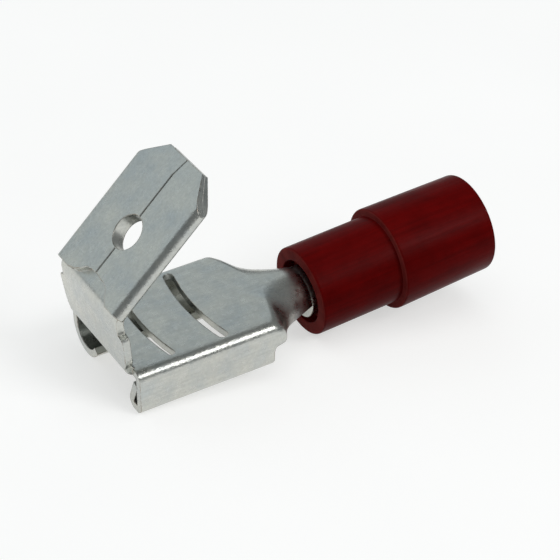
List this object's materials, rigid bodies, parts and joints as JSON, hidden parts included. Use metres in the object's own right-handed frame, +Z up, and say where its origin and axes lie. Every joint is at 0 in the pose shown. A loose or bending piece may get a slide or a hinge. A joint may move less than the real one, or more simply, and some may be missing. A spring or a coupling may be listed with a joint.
{
  "type": "female spade terminal",
  "caption": "Red-sleeved crimp terminal: a rolled-edge female socket with a leaning male tab folded back over it, a necked crimp barrel and a stepped soft sleeve.",
  "frame": {"origin": "middle of the bounding box, on the surface the terminal lies on", "axes": "+X from the socket's mouth to the wire end, +Y across towards the open roll, +Z up from the surface"},
  "size_m": [0.0238, 0.0074, 0.0119],
  "materials": {
    "tinned_brass": "bright tin plating, faintly mottled",
    "red_pvc": "satin"
  },
  "bodies": {
    "root": {"terminal": "tinned_brass", "sleeve": "red_pvc"}
  },
  "joints": []
}
